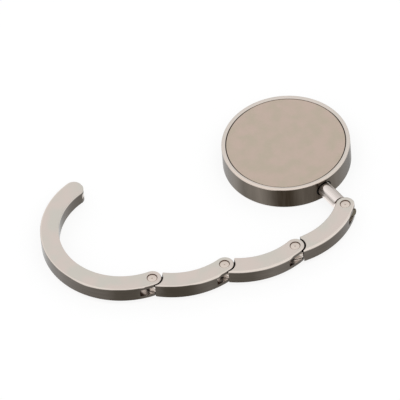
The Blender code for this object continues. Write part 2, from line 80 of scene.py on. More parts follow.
class Wire:
    """A socket in a material's nodes. A sum or product of wires adds its Math node."""

    COLOUR_A = 6
    COLOUR_B = 7
    COLOUR_OUT = 2

    def __init__(self, tree, socket=None):
        self.tree = tree
        self.socket = socket

    def node(self, kind, settings=(), sockets=(), out=0):
        made = self.tree.nodes.new("ShaderNode" + kind)
        for name, value in dict(settings).items():
            if name == "stops":
                ramp = made.color_ramp.elements
                while len(ramp) < len(value):
                    ramp.new(0)
                for stop, (place, colour) in zip(ramp, value):
                    stop.position = place
                    stop.color = (*colour, 1)
            else:
                setattr(made, name, value)
        for name, value in dict(sockets).items():
            if isinstance(value, Wire):
                self.tree.links.new(value.socket, made.inputs[name])
            else:
                made.inputs[name].default_value = value
        return Wire(self.tree, made.outputs[out])

    def maths(self, operation, *values):
        return self.node("Math", {"operation": operation}, enumerate(values))

    def __add__(self, other):
        return self.maths("ADD", self, other)

    def __sub__(self, other):
        return self.maths("SUBTRACT", self, other)

    def __rsub__(self, other):
        return self.maths("SUBTRACT", other, self)

    def __mul__(self, other):
        return self.maths("MULTIPLY", self, other)

    __radd__ = __add__
    __rmul__ = __mul__

    def between(self, low, high):
        """A value that goes from low to high as this wire goes from 0 to 1."""
        return self * (high - low) + low

    def rises(self, start, end):
        """0 below start, 1 above end, smooth between them."""
        ends = {"From Min": start, "From Max": end}
        return self.node(
            "MapRange", {"interpolation_type": "SMOOTHSTEP"}, {"Value": self, **ends}
        )

    def along(self, tones):
        """The tone at this share of a turn, from pairs of degrees and tones."""
        stops = [(degrees / 360 + 0.5, (tone, tone, tone)) for degrees, tone in tones]
        return self.node("ValToRGB", {"stops": stops}, {"Fac": self})

    def mixed(self, first, second):
        """The first colour where this wire is 0, the second where it is 1."""
        colours = {"Factor": self, self.COLOUR_A: first, self.COLOUR_B: second}
        return self.node("Mix", {"data_type": "RGBA"}, colours, self.COLOUR_OUT)

    def blended(self, kind, share, other):
        """This colour with a share of another laid over it."""
        settings = {"data_type": "RGBA", "blend_type": kind}
        colours = {"Factor": share, self.COLOUR_A: self, self.COLOUR_B: other}
        return self.node("Mix", settings, colours, self.COLOUR_OUT)

    def feeds(self, name):
        self.tree.links.new(self.socket, self.tree.nodes["Principled BSDF"].inputs[name])


def new_surface(name, roughness, metallic):
    """A material and the wire of the places on its piece. Where a metal is dulled, it is matt."""
    surface = bpy.data.materials.new(name)
    surface.use_nodes = True
    shader = surface.node_tree.nodes["Principled BSDF"]
    shader.inputs["Roughness"].default_value = roughness
    shader.inputs["Metallic"].default_value = metallic
    shader.inputs["Specular IOR Level"].default_value = (1 - metallic) / 2
    return surface, Wire(surface.node_tree).node("TexCoord", out="Object")


def spots(place, size, detail=2.0, stretch=(1, 1, 1)):
    """Cloudy noise from 0 to 1 with spots of about the given size."""
    moved = place.node("Mapping", {}, {"Vector": place, "Scale": [s / size for s in stretch]})
    return moved.node("TexNoise", {}, {"Vector": moved, "Scale": 1.0, "Detail": detail})


def axes_of(place):
    split = place.node("SeparateXYZ", {}, {"Vector": place})
    return [Wire(place.tree, socket) for socket in split.socket.node.outputs]


def turn_of(east, north):
    """The direction from the middle, as a share of the turn from -180 to 180 degrees."""
    return north.maths("ARCTAN2", north, east) * (1 / (2 * math.pi)) + 0.5


def reach_of(east, north):
    """The distance from the middle."""
    squares = east * east + north * north
    return squares.maths("SQRT", squares)


def bumped(height, depth, strength):
    bump = height.node("Bump", {}, {"Height": height, "Distance": depth, "Strength": strength})
    bump.feeds("Normal")


def screen_colour(red, green, blue):
    """A colour as a screen shows it, from 0 to 255, as the light it stands for."""
    return tuple(((v / 255 + 0.055) / 1.055) ** 2.4 for v in (red, green, blue)) + (1,)


def deselect_everything():
    if bpy.context.object and bpy.context.object.mode != "OBJECT":
        bpy.ops.object.mode_set(mode="OBJECT")
    bpy.ops.object.select_all(action="DESELECT")


def make_active(piece):
    deselect_everything()
    piece.select_set(True)
    bpy.context.view_layer.objects.active = piece


def place_in_mesh(piece):
    make_active(piece)
    bpy.ops.object.transform_apply(location=True, rotation=True, scale=True)


def started(name, surface):
    """The primitive just added, named, with its place in its mesh and a material on it."""
    piece = bpy.context.object
    piece.name = name
    piece.data.name = name
    place_in_mesh(piece)
    piece.data.materials.append(surface)
    return piece


TURNED_TO = {"X": (0, math.pi / 2, 0), "Z": (0, 0, 0)}


def on_axis(along, at, distance):
    """The place at this distance on an axis along X or Z, which passes through the given place."""
    return (distance, *at) if along == "X" else (*at, distance)


def drum(name, radius, start, end, surface, along="Z", at=(0, 0), sides=DRILL_SIDES):
    """A cylinder from start to end on an axis along X or Z."""
    deselect_everything()
    bpy.ops.mesh.primitive_cylinder_add(
        vertices=sides,
        radius=radius,
        depth=end - start,
        location=on_axis(along, at, (start + end) / 2),
        rotation=TURNED_TO[along],
    )
    return started(name, surface)


def open_mesh(piece, kind):
    """Edit mode on one piece, with nothing selected."""
    make_active(piece)
    bpy.ops.object.mode_set(mode="EDIT")
    bpy.ops.mesh.select_mode(type=kind)
    bpy.ops.mesh.select_all(action="DESELECT")


def pick_points(piece, wanted):
    open_mesh(piece, "VERT")
    shape = bmesh.from_edit_mesh(piece.data)
    for vert in shape.verts:
        vert.select_set(wanted(vert.co))
    bmesh.update_edit_mesh(piece.data)


def pick_faces(piece, wanted):
    open_mesh(piece, "FACE")
    shape = bmesh.from_edit_mesh(piece.data)
    for face in shape.faces:
        face.select_set(wanted(face.calc_center_median(), face.normal))
    bmesh.update_edit_mesh(piece.data)


def pick_edges(piece, wanted):
    """Picks edges by their middle and the upright parts of the normals on their two sides."""
    open_mesh(piece, "EDGE")
    shape = bmesh.from_edit_mesh(piece.data)
    for edge in shape.edges:
        middle = (edge.verts[0].co + edge.verts[1].co) / 2
        uprights = sorted(abs(face.normal.z) for face in edge.link_faces)
        edge.select_set(len(uprights) == 2 and bool(wanted(middle, uprights)))
    bmesh.update_edit_mesh(piece.data)


def bevelled(piece, wanted, width, segments):
    pick_edges(piece, wanted)
    bpy.ops.mesh.bevel(offset=width, segments=segments, affect="EDGES")
    bpy.ops.object.mode_set(mode="OBJECT")


def given_second(piece, surface, wanted):
    """Puts a second material on the faces that are wanted."""
    piece.data.materials.append(surface)
    pick_faces(piece, wanted)
    piece.active_material_index = 1
    bpy.ops.object.material_slot_assign()


def modified(piece, kind, **settings):
    """Adds a modifier with these settings and applies it."""
    make_active(piece)
    bpy.ops.object.modifier_add(type=kind)
    step = piece.modifiers[-1]
    for name, value in settings.items():
        setattr(step, name, value)
    bpy.ops.object.modifier_apply(modifier=step.name)


def with_tool(piece, tool, operation="DIFFERENCE"):
    """Cuts a piece with a tool, or joins the two, and clears the tool away."""
    settings = {"operation": operation, "solver": "EXACT", "material_mode": "TRANSFER"}
    modified(piece, "BOOLEAN", object=tool, **settings)
    bpy.data.objects.remove(tool)


def finished(piece, body, slot, *nodes):
    """Smooth shading with flat faces kept flat, then the piece takes its CAD nodes' place."""
    make_active(piece)
    bpy.ops.object.shade_smooth_by_angle(angle=SMOOTH_ANGLE)
    modified(piece, "WEIGHTED_NORMAL", keep_sharp=True)
    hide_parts(*nodes)
    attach(piece, body)
    deselect_everything()


# The finish of the case. Tones go round it, by degrees from +X: the wall's are painted
# reflections, the bezel's are painted shade in its seam, a painted highlight on its front rim and
# how far the wall's painted dark reflection climbs its rim. A start is where a mask leaves 0 and a
# full where it reaches 1, measured from the seat's edge, the case's edge, the top or the foot. A
# lift is how much higher that place lies where the rim takes the painted dark reflection.
# The wall's dark, light and tones round the case are painted reflections, its streaks painted
# reflection streaks.
WALL_DARK = screen_colour(54, 45, 35)
WALL_LIGHT = screen_colour(121, 113, 104)
WALL_REFLECTION_TONES = (
    (-180, 0.62),
    (-125, 0.35),
    (-100, 0.59),
    (-88, 0.93),
    (-76, 0.5),
    (-60, 0.97),
    (-50, 0.5),
    (-41, 0.03),
    (-31, 0.04),
    (-22, 0.36),
    (-13, 0.33),
    (-4, 0.1),
    (14, 0.6),
    (28, 0.45),
    (41, 0.1),
    (55, 0.12),
    (120, 0.75),
    (180, 0.62),
)
WALL_REFLECTION_STREAKS = (1, 1, 0.08)
DULL_TONES = ((-180, 0.4), (-110, 0.4), (-92, 0), (22, 0), (40, 0.45), (60, 0.5), (180, 0.4))
BEZEL_WARM = screen_colour(224, 212, 204)
BEZEL_COOL = screen_colour(216, 210, 201)
# How far the wall's painted dark reflection climbs the bezel's outer rim, by degrees round the
# case.
BEZEL_REFLECTION_TONES = (
    (-130, 0.3),
    (-100, 0.9),
    (-78, 0.1),
    (-60, 0.4),
    (-50, 0.2),
    (-42, 1),
    (-20, 0.9),
    (-10, 0.6),
    (0, 0),
    (25, 0.3),
    (40, 1),
    (70, 0.5),
    (100, 0),
)
BEZEL_START = 0.45 * MM
BEZEL_FULL = 0.3 * MM
BEZEL_START_LIFT = 0.24 * MM
BEZEL_FULL_LIFT = 0.29 * MM
BEZEL_ROUGHER = 0.2
# A painted highlight along the front of the bezel's outer rim.
BEZEL_HIGHLIGHT = screen_colour(234, 220, 209)
BEZEL_HIGHLIGHT_TONES = ((-115, 0), (-85, 1), (-25, 1), (5, 0.5), (50, 0))
BEZEL_HIGHLIGHT_START = 0.8 * MM
BEZEL_HIGHLIGHT_FULL = 0.4 * MM
# Painted shade in the seam between the bezel and the plate, darker on some sides than others.
SEAM_SHADE = screen_colour(84, 72, 62)
SEAM_TONES = ((-180, 0.3), (-140, 1), (-100, 1), (-60, 0), (-20, 0), (15, 1), (80, 1), (100, 0))
SEAM_START = 0.16 * MM
SEAM_FULL = 0.02 * MM
FOOT_START = 0.02 * MM
FOOT_FULL = 0.005 * MM
CASTING_DARK = (0.05, 0.042, 0.036, 1)
CASTING_LIGHT = (0.11, 0.095, 0.085, 1)


def case_finish():
    """A satin bezel over a polished wall, with reflections painted in bands on its way round, a
    painted highlight on the bezel's front rim and painted shade in its seam.
    """
    surface, place = new_surface("plated casting", 0.1, 1.0)
    east, north, up = axes_of(place)
    turn = turn_of(east, north)
    reach = reach_of(east, north)
    wobble = spots(place, 9 * MM).between(-0.012, 0.012)
    streaks = spots(place, 0.7 * MM, 3.0, WALL_REFLECTION_STREAKS).between(-0.15, 0.15)
    # The wall's colour: reflections painted in bands round the case, with painted reflection
    # streaks.
    wall = ((turn + wobble).along(WALL_REFLECTION_TONES) + streaks).mixed(WALL_DARK, WALL_LIGHT)
    bezel = spots(place, 5 * MM).mixed(BEZEL_WARM, BEZEL_COOL)
    # Painted shade in the seam, on the bezel's side.
    seam = 1 - reach.rises(seat_radius + SEAM_FULL, seat_radius + SEAM_START)
    bezel = (seam * turn.along(SEAM_TONES)).mixed(bezel, SEAM_SHADE)
    # A painted highlight on the bezel's outer rim, on the front only.
    rim_highlight = reach.rises(case_radius - BEZEL_HIGHLIGHT_START, case_radius - BEZEL_HIGHLIGHT_FULL)
    bezel = (rim_highlight * turn.along(BEZEL_HIGHLIGHT_TONES)).mixed(bezel, BEZEL_HIGHLIGHT)
    # Where the bezel's rim takes the wall's painted dark reflection, the satin starts higher.
    dark = turn.along(BEZEL_REFLECTION_TONES)
    upper = up.rises(
        dark * BEZEL_START_LIFT + (case_high.z - BEZEL_START),
        dark * BEZEL_FULL_LIFT + (case_high.z - BEZEL_FULL),
    )
    foot = 1 - up.rises(case_low.z + FOOT_FULL, case_low.z + FOOT_START)
    satin = upper + foot
    satin.mixed(wall, bezel).feeds("Base Color")
    (1 - turn.along(DULL_TONES) * (1 - satin)).feeds("Metallic")
    (spots(place, 2.5 * MM, 4.0).between(0.05, 0.15) + satin * BEZEL_ROUGHER).feeds("Roughness")
    bumped(spots(place, 0.25 * MM, 3.0), 0.002 * MM, 0.25)
    return surface


def casting_skin():
    surface, place = new_surface("raw casting", 0.55, 1.0)
    grain = spots(place, 0.35 * MM, 4.0)
    grain.mixed(CASTING_DARK, CASTING_LIGHT).feeds("Base Color")
    grain.between(0.45, 0.65).feeds("Roughness")
    bumped(grain, 0.01 * MM, 0.4)
    return surface


case_low, case_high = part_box("case_body")
case_radius = case_high.x
seat_radius = case_radius - BEZEL_WIDTH
bush_low, bush_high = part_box("guide_bush")
bush_radius = (bush_high.z - bush_low.z) / 2
axis_height = (bush_low.z + bush_high.z) / 2
post_low, post_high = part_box("post")
post_radius = (post_high.z - post_low.z) / 2
bore_radius = post_radius + BORE_GAP
plated = case_finish()
raw = casting_skin()

case = drum("case_casting", case_radius, case_low.z, case_high.z, plated, sides=CASE_SIDES)
pick_faces(case, lambda middle, normal: normal.z > LEVEL)
bpy.ops.mesh.inset(thickness=BEZEL_WIDTH)
bpy.ops.mesh.extrude_region_move(TRANSFORM_OT_translate={"value": (0, 0, -SEAT_DEPTH)})
pick_faces(case, lambda middle, normal: normal.z < -LEVEL)
bpy.ops.mesh.inset(thickness=FOOT_WIDTH)
bpy.ops.mesh.extrude_region_move(TRANSFORM_OT_translate={"value": (0, 0, RECESS_DEPTH)})


def near(value, goal):
    return abs(value - goal) < NEARBY


def ring_at(height, radius):
    """Tells whether an edge belongs to the ring at this height and radius."""
    return lambda middle, _: (
        near(middle.z, height) and near(math.hypot(middle.x, middle.y), radius)
    )


for height, radius, width, segments in (
    (case_high.z, case_radius, BEZEL_OUTER_ROUND, 6),
    (case_high.z, seat_radius, BEZEL_INNER_ROUND, 3),
    (case_low.z, case_radius, FOOT_ROUND, 4),
):
    bevelled(case, ring_at(height, radius), width, segments)
given_second(case, raw, lambda middle, normal: near(middle.z, case_high.z - SEAT_DEPTH))


def swept(steps, turn, centre):
    """Spins what is selected about an upright axis, clockwise seen from above."""
    bpy.ops.mesh.spin(steps=steps, angle=turn, center=centre, axis=(0, 0, 1), dupli=False)


def thickened(height):
    """Draws the plan that is being edited up to its height and closes it."""
    bpy.ops.mesh.select_all(action="SELECT")
    bpy.ops.mesh.extrude_region_move(TRANSFORM_OT_translate={"value": (0, 0, height)})
    bpy.ops.mesh.select_all(action="SELECT")
    bpy.ops.mesh.normals_make_consistent(inside=False)
    bpy.ops.object.mode_set(mode="OBJECT")


def core_plug(first_turn, start):
    """A kidney-shaped plug that leaves a cored pocket, clockwise from its first turn."""
    deselect_everything()
    bpy.ops.mesh.primitive_circle_add(vertices=4, radius=CORE_OUTER, location=(0, 0, start))
    plug = started("core_plug", raw)
    pick_points(plug, lambda place: place.x < CORE_OUTER / 2)
    bpy.ops.mesh.delete(type="VERT")
    pick_points(plug, lambda place: True)
    step = {"value": (CORE_INNER - CORE_OUTER, 0, 0)}
    bpy.ops.mesh.extrude_vertices_move(TRANSFORM_OT_translate=step)
    bpy.ops.mesh.select_all(action="SELECT")
    swept(CORE_STEPS, CORE_SWEEP, (0, 0, start))
    thickened(CORE_DEPTH + CUTTER_SPARE)
    plug.rotation_euler = (0, 0, first_turn)
    return plug


middle_line = (0, axis_height)
outside = case_radius + CUTTER_SPARE
for name, radius, start in (
    ("bore", bore_radius, post_low.x - BORE_ROOM),
    ("side_hole", bush_radius + BORE_GAP, bush_low.x - FIT_GAP),
):
    with_tool(case, drum(name, radius, start, outside, raw, "X", middle_line))
pocket_start = case_low.z + RECESS_DEPTH - CUTTER_SPARE
for node in ("stop_pin", "catch_magnet"):
    corner, far_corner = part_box(node)
    radius = (far_corner.x - corner.x) / 2 + FIT_GAP
    spot = ((corner.x + far_corner.x) / 2, (corner.y + far_corner.y) / 2)
    with_tool(case, drum("pocket", radius, pocket_start, far_corner.z + FIT_GAP, raw, at=spot))
for first_turn in (CORE_START + CORE_SWEEP, -CORE_START):
    with_tool(case, core_plug(first_turn, pocket_start))
finished(case, "case", "case_metal", "case_body")

# Guide bush
# A dark nylon tube that is moulded to size and turns in the side hole with the post. The post
# slides in it without scratching. It is the dark ring that shows round the post.
LIP_ROUND = 0.07 * MM
BUSH_SIDES = 64
NYLON_DARK = (0.012, 0.011, 0.010, 1)
NYLON_LIGHT = (0.030, 0.028, 0.026, 1)


def nylon():
    surface, place = new_surface("dark nylon", 0.45, 0.0)
    grain = spots(place, 0.2 * MM, 3.0)
    grain.mixed(NYLON_DARK, NYLON_LIGHT).feeds("Base Color")
    grain.between(0.35, 0.55).feeds("Roughness")
    bumped(grain, 0.004 * MM, 0.5)
    return surface


bush = drum(
    "bush_tube", bush_radius, bush_low.x, bush_high.x, nylon(), "X", middle_line, BUSH_SIDES
)
pick_faces(bush, lambda middle, normal: abs(normal.x) > LEVEL)
bpy.ops.mesh.inset(thickness=bush_radius - bore_radius)
bpy.ops.mesh.delete(type="FACE")
bpy.ops.mesh.select_mode(type="EDGE")
bpy.ops.mesh.select_non_manifold()
bpy.ops.mesh.bridge_edge_loops()
bpy.ops.mesh.select_all(action="SELECT")
bpy.ops.mesh.normals_make_consistent(inside=False)
lips = (bush_low.x, bush_high.x)
bevelled(bush, lambda middle, _: any(near(middle.x, x) for x in lips), LIP_ROUND, segments=2)
finished(bush, "bush", "bush_nylon", "guide_bush")

# Post
# A polished steel rod. Its waist takes the stop pin, its far end is milled flat on two sides and
# drilled for the first hinge pin.
POST_SIDES = 96
POST_EDGE = 0.2 * MM
HEAD_LENGTH = 3.0 * MM
WAIST_RADIUS = 1.4 * MM
BLADE_THICKNESS = 2.1 * MM
BLADE_GAP = 0.35 * MM
PIN_RADIUS = 1.4 * MM
EAR_RADIUS = 2.5 * MM
RING_GAP = 0.3 * MM
ROD_DARK = screen_colour(100, 94, 80)
ROD_LIGHT = screen_colour(253, 243, 238)
# Reflections painted round the rod, by the way each side of it faces.
ROD_REFLECTION_TONES = (
    (-180, 1.0),
    (-90, 0.7),
    (0, 0.2),
    (20, 0),
    (30, 0.05),
    (54, 0.44),
    (66, 0.71),
    (90, 0.65),
    (108, 0.82),
    (126, 1.0),
    (138, 0.71),
    (150, 0.56),
    (162, 0.61),
    (174, 0.95),
    (180, 1.0),
)
ROD_RINGS = (1, 0.1, 0.1)
ROD_DULL = ((-40, 0), (-20, 1), (48, 1), (62, 0))
BLADE_START = 0.02 * MM
BLADE_FULL = 0.12 * MM
SAWN_END_START = 0.3 * MM
SAWN_END_FULL = 0.2 * MM


def block(name, low, high, surface, turn=0, at=(0, 0, 0)):
    """A box from its low to its high corner, turned about Z and then moved."""
    size = [b - a for a, b in zip(low, high)]
    deselect_everything()
    bpy.ops.mesh.primitive_cube_add(size=1)
    centre = Matrix.Translation([(a + b) / 2 for a, b in zip(low, high)])
    moved = Matrix.Translation(at) @ Matrix.Rotation(turn, 4, "Z")
    bpy.context.object.matrix_world = moved @ centre @ Matrix.Diagonal((*size, 1))
    return started(name, surface)


def drawn_out(name, stations, surface, sides, along="Z", at=(0, 0)):
    """A turned piece, drawn out from a disc. A station is a place on the axis and a radius."""
    first, width = stations[0]
    deselect_everything()
    bpy.ops.mesh.primitive_circle_add(
        vertices=sides,
        radius=width,
        fill_type="NGON",
        location=on_axis(along, at, first),
        rotation=TURNED_TO[along],
    )
    piece = started(name, surface)
    bpy.ops.object.mode_set(mode="EDIT")
    bpy.ops.mesh.select_all(action="SELECT")
    for (here, radius), (there, next_radius) in zip(stations, stations[1:]):
        step = {"value": on_axis(along, (0, 0), there - here)}
        share = next_radius / radius
        bpy.ops.mesh.extrude_region_move(TRANSFORM_OT_translate=step)
        bpy.ops.transform.resize(
            value=(share, share, share), center_override=on_axis(along, at, there)
        )
    bpy.ops.mesh.select_all(action="SELECT")
    bpy.ops.mesh.normals_make_consistent(inside=False)
    bpy.ops.object.mode_set(mode="OBJECT")
    return piece


def rod_finish():
    """Reflections painted round the rod, dull along its foot, bright on its blade, with a dark
    band at its end.
    """
    surface, place = new_surface("polished rod", 0.14, 1.0)
    east, north, up = axes_of(place)
    turned = spots(place, 0.22 * MM, stretch=ROD_RINGS)
    turn = turn_of(north, up - axis_height)
    wobble = spots(place, 3 * MM).between(-0.01, 0.01)
    # Painted reflections round the rod.
    rod = (turn + wobble).along(ROD_REFLECTION_TONES).mixed(ROD_DARK, ROD_LIGHT)
    blade = east.rises(shoulder + BLADE_START, shoulder + BLADE_FULL)
    end = east.rises(post_high.x - SAWN_END_START, post_high.x - SAWN_END_FULL)
    end.mixed(blade.mixed(rod, ROD_LIGHT), ROD_DARK).feeds("Base Color")
    (1 - turn.along(ROD_DULL) * (1 - blade)).feeds("Metallic")
    turned.between(0.1, 0.2).feeds("Roughness")
    bumped(turned, 0.001 * MM, 0.2)
    return surface


def pin_of(name):
    return Vector(next(joint["pos_m"] for joint in frame["joints"] if joint["name"] == name))


first_pin = pin_of("hinge_1")
shoulder = first_pin.x - EAR_RADIUS - BLADE_GAP
ring_radius = case_radius + RING_GAP + EAR_RADIUS
slide_travel = first_pin.x - ring_radius
stop_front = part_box("stop_pin")[1].x
head_front = post_low.x + HEAD_LENGTH
waist_front = stop_front + BORE_GAP + slide_travel
edge_radius = post_radius - POST_EDGE
post_stations = [
    (post_low.x, edge_radius),
    (post_low.x + POST_EDGE, post_radius),
    (head_front - POST_EDGE, post_radius),
    (head_front, edge_radius),
    (head_front, WAIST_RADIUS),
    (waist_front, WAIST_RADIUS),
    (waist_front, edge_radius),
    (waist_front + POST_EDGE, post_radius),
    (post_high.x - POST_EDGE, post_radius),
    (post_high.x, edge_radius),
]
polished_rod = rod_finish()
post = drawn_out("post_rod", post_stations, polished_rod, POST_SIDES, "X", middle_line)
half_blade = BLADE_THICKNESS / 2
across = post_radius + CUTTER_SPARE
for low_z, high_z in ((half_blade, across), (-across, -half_blade)):
    corner = (shoulder, -across, axis_height + low_z)
    far_corner = (post_high.x + CUTTER_SPARE, across, axis_height + high_z)
    with_tool(post, block("flat", corner, far_corner, polished_rod))
turning_hole = PIN_RADIUS + BORE_GAP
hole_ends = (case_low.z, case_high.z)
with_tool(post, drum("pin_hole", turning_hole, *hole_ends, polished_rod, at=first_pin[:2]))
finished(post, "rod", "post_metal", "post")

# Stop pin, catch magnet and back plate
# The pin stops the post at both ends of its travel, the magnet holds the folded arm's tip. Both
# sit in pockets of the casting and are shut in by a sheet steel plate.
SHEET_DARK = screen_colour(150, 146, 142)
SHEET_LIGHT = screen_colour(176, 172, 168)
PLATING_DARK = screen_colour(150, 150, 152)
PLATING_LIGHT = screen_colour(182, 182, 184)


def bright_steel(name, dark, light, roughness):
    surface, place = new_surface(name, roughness, 1.0)
    cloud = spots(place, 1.2 * MM, 4.0)
    cloud.mixed(dark, light).feeds("Base Color")
    cloud.between(roughness - 0.08, roughness + 0.08).feeds("Roughness")
    bumped(spots(place, 0.15 * MM), 0.002 * MM, 0.3)
    return surface


sheet_steel = bright_steel("sheet steel", SHEET_DARK, SHEET_LIGHT, 0.4)
magnet_plating = bright_steel("magnet plating", PLATING_DARK, PLATING_LIGHT, 0.25)
for node, surface in (
    ("stop_pin", sheet_steel),
    ("catch_magnet", magnet_plating),
    ("back_plate", sheet_steel),
):
    frame["nodes"][node].material_slots[0].material = surface

# Rubber pad
# A black moulded disc glued under the back plate. It stands proud of the case's foot and keeps
# the hook from sliding on the table.
PAD_EDGE = 0.2 * MM
PAD_SIDES = 160
EDGE_MIDDLE = 0.3  # a rounded edge's middle lies this share of its radius inside the corner
PEBBLES_IN_A_METRE = 2200
RUBBER_DARK = (0.018, 0.018, 0.018, 1)
RUBBER_DUSTY = (0.034, 0.033, 0.032, 1)


def pad_rubber():
    surface, place = new_surface("pad rubber", 0.8, 0.0)
    pebbled = place.node("Mapping", {}, {"Vector": place, "Scale": [PEBBLES_IN_A_METRE] * 3})
    pebbles = pebbled.node("TexVoronoi", {"feature": "F1"}, {"Vector": pebbled, "Scale": 1.0})
    dust = spots(place, 4 * MM, 3.0)
    dust.mixed(RUBBER_DARK, RUBBER_DUSTY).feeds("Base Color")
    dust.between(0.7, 0.85).feeds("Roughness")
    bumped(pebbles, 0.03 * MM, 0.5)
    return surface


pad_low, pad_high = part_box("rubber_pad")
pad_stations = [
    (pad_low.z, pad_high.x - PAD_EDGE),
    (pad_low.z + EDGE_MIDDLE * PAD_EDGE, pad_high.x - EDGE_MIDDLE * PAD_EDGE),
    (pad_low.z + PAD_EDGE, pad_high.x),
    (pad_high.z, pad_high.x),
]
pad = drawn_out("pad_disc", pad_stations, pad_rubber(), PAD_SIDES)
finished(pad, "case", "pad_rubber", "rubber_pad")

# Face plate
# A thin stamped disc with a satin nickel face. It is pressed into the seat inside the bezel, with
# shade painted in the line between the two, darker on some sides than others.
PLATE_EDGE = 0.09 * MM
PLATE_WARM = screen_colour(207, 188, 175)
PLATE_COOL = screen_colour(199, 186, 169)
SPECK_SHARE = 0.06


def satin_plate():
    surface, place = new_surface("satin plate", 0.42, 1.0)
    speck = spots(place, 0.18 * MM, 3.0)
    clouds = spots(place, 4 * MM).rises(0.3, 0.7)
    tone = clouds.mixed(PLATE_WARM, PLATE_COOL).blended("MULTIPLY", SPECK_SHARE, speck)
    east, north, _ = axes_of(place)
    # Painted shade in the seam, on the plate's side.
    seam = reach_of(east, north).rises(plate_high.x - SEAM_START, plate_high.x - SEAM_FULL)
    seam = seam * turn_of(east, north).along(SEAM_TONES)
    seam.mixed(tone, SEAM_SHADE).feeds("Base Color")
    spots(place, 0.5 * MM, 3.0).between(0.36, 0.48).feeds("Roughness")
    bumped(speck, 0.0015 * MM, 0.35)
    return surface


plate_low, plate_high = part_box("face_plate")
plate_stations = [
    (plate_low.z, plate_high.x),
    (plate_high.z - PLATE_EDGE, plate_high.x),
    (plate_high.z - EDGE_MIDDLE * PLATE_EDGE, plate_high.x - EDGE_MIDDLE * PLATE_EDGE),
    (plate_high.z, plate_high.x - PLATE_EDGE),
]
plate = drawn_out("plate_disc", plate_stations, satin_plate(), CASE_SIDES)
finished(plate, "case", "face_metal", "face_plate")

# Links
# Three alike zinc castings, nickel plated and polished on the flanks, satin above and below. Each
# has two ears at the disc's end and a tongue in a hollowed shoulder at the other end.
LINK_THICKNESS = 4.4 * MM
LINK_ARC = math.radians(58.3)
HINGES_OPEN = [math.radians(a) for a in (40.23, 28.27, 53.25, 39.5)]
ARC_STEP = math.radians(1.5)
RIM_ROUND = 0.2 * MM
RIM_STEPS = 5
LOWER_RIM_SHARE = 0.25
SHOULDER_RADIUS = 2.92 * MM
SHOULDER_EDGE = 0.1 * MM
CORNER_BACK = 2.19 * MM
CORNER_ASIDE = 1.5 * MM
SLOT_DEPTH = 4.4 * MM
SLOT_HEIGHT = 2.3 * MM
BARREL_RADIUS = 2.0 * MM
BARREL_ROUND = 0.12 * MM
TONGUE_ROOT = 1.0 * MM
HOLE_GAP = 0.04 * MM
EAR_SIDES = 64
HOLLOW_SIDES = 96
TOUCHING = 0.001 * MM
CUT_TOLERANCE = 1e-7
half_link = LINK_THICKNESS / 2
tool_reach = EAR_RADIUS + CUTTER_SPARE
hinge_pins = [pin_of(f"hinge_{number}") for number in range(1, len(HINGES_OPEN) + 1)]

# The finish of the links, with reflections painted on the flanks by the way each flank faces.
# Their looks are the node, the lightening of its flanks' painted reflections and how far that
# painted dark reflection climbs its front rims. Masks are measured from the ring's middle line, a
# pin's axis, the post's height, the underside or a tongue's face.
LINK_LOOKS = (("first_link", 0, 0.3), ("second_link", 0.08, 0.3), ("third_link", -0.1, 1.0))
LINK_DARK = screen_colour(60, 54, 44)
LINK_LIGHT = screen_colour(122, 115, 109)
# Reflections painted on the flanks, by the way each flank faces.
LINK_REFLECTION_TONES = (
    (-180, 0.98),
    (-113, 0.2),
    (-100, 0.3),
    (-86, 0.7),
    (-48, 0.43),
    (-42, 0.2),
    (-36, 0.15),
    (-27, 0.18),
    (-20, 0.41),
    (-12, 0.58),
    (2, 0.42),
    (30, 0.52),
    (42, 0.18),
    (60, 0.5),
    (80, 0.72),
    (130, 0.33),
    (180, 0.98),
)
# How far the flanks' painted dark reflection climbs the front rims, by the way they face.
RIM_REFLECTION_TONES = (
    (-180, 0.6),
    (-130, 1),
    (-92, 1),
    (-75, 1),
    (-63, 0.4),
    (-50, 0.7),
    (-40, 1),
    (-25, 0.95),
    (-18, 0.45),
    (-6, 0.25),
    (4, 0),
    (120, 0),
    (180, 0.6),
)
POLISHING_LINES = (0.15, 0.15, 2.6)
POLISHING_SHARE = 0.25
SATIN_WARM = screen_colour(219, 207, 199)
SATIN_COOL = screen_colour(212, 207, 198)
# A painted highlight along the outer rim of the level faces.
OUTER_RIM_HIGHLIGHT = screen_colour(235, 224, 215)
OUTER_HIGHLIGHT_START = 2.0 * MM
OUTER_HIGHLIGHT_FULL = 2.4 * MM
FLANK_BLEND = 1.2 * MM
EAR_DARK_START = 4.8 * MM
EAR_DARK_FULL = 3.6 * MM
TOP_START = 1.2 * MM
TOP_FULL = 1.8 * MM
TOP_START_LIFT = 0.8 * MM
TOP_FULL_LIFT = 0.39 * MM
UNDER_START = 0.01 * MM
UNDER_FULL = 0.002 * MM
SATIN_ROUGHER = 0.16
GRAIN_IN_A_TURN = 0.12
# Painted shade on the tongue's faces, which lie between the ears.
TONGUE_FACE_SHADE = (0.012, 0.009, 0.008, 1)
# Painted shade for the narrow gaps round the hinges.
GAP_SHADE_DARK = (0.008, 0.006, 0.005, 1)
GAP_SHADE_LIGHT = (0.03, 0.024, 0.02, 1)
SLOT_DARK = (0.66, 0.60, 0.56, 1)
SLOT_LIGHT = (0.86, 0.80, 0.76, 1)
# Painted shade in the deep end of each slot, away from the pins.
SLOT_SHADE = screen_colour(64, 48, 40)
SLOT_SHADE_START = 3.2 * MM
SLOT_SHADE_FULL = 4.0 * MM
BARREL_DARK = screen_colour(160, 146, 136)
BARREL_LIGHT = screen_colour(250, 243, 236)
BARREL_STREAKS = (1, 1, 2.5)
BARREL_SHADE_START = 0.1 * MM
BARREL_SHADE_FULL = 0.02 * MM


